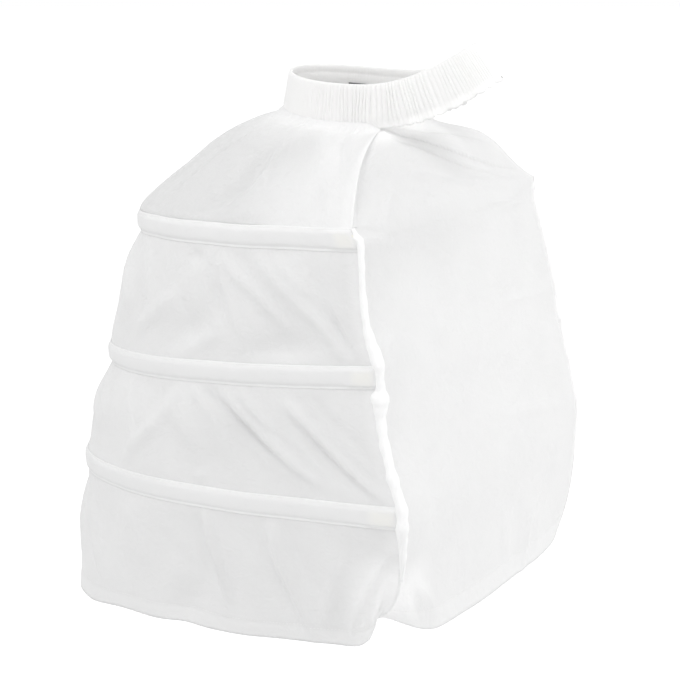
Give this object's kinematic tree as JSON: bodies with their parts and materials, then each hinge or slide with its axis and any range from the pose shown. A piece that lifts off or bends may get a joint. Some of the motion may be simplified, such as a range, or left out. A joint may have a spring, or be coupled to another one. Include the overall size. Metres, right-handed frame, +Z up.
{
  "type": "crinoline cage",
  "caption": "Bustle-type crinoline cage: a gathered elastic waist loop carries a white cloth skirt held out behind the wearer by half hoops in sewn casings.",
  "frame": {"origin": "centre of the waist loop, at the middle of the waistband's height", "axes": "+Z up, +Y towards the back of the skirt, -Y the way the wearer faces, +X the wearer's left"},
  "size_m": [0.552, 0.5438, 0.6662],
  "materials": {
    "gathered_cotton": "matte white cotton, gathered into fine upright ribs",
    "elastic": "flat woven elastic",
    "label_tape": "blank dark grey woven tape",
    "white_cotton": "matte thin white plain-weave cotton",
    "casing_cotton": "matte white plain-weave cotton, doubled",
    "hoop_strip": "pale coated flat boning",
    "tip_plastic": "cream plastic sleeve",
    "seam_tape": "bright white folded seam tape"
  },
  "bodies": {
    "root": {"waistband": "gathered_cotton", "waist_elastic": "elastic", "size_label": "label_tape", "back_yoke": "white_cotton", "back_skirt": "white_cotton", "front_panel": "white_cotton", "upper_casing": "casing_cotton", "middle_casing": "casing_cotton", "lower_casing": "casing_cotton", "upper_hoop": "hoop_strip", "middle_hoop": "hoop_strip", "lower_hoop": "hoop_strip", "upper_left_tip": "tip_plastic", "upper_right_tip": "tip_plastic", "middle_left_tip": "tip_plastic", "middle_right_tip": "tip_plastic", "lower_left_tip": "tip_plastic", "lower_right_tip": "tip_plastic", "left_side_binding": "seam_tape", "right_side_binding": "seam_tape"}
  },
  "joints": []
}
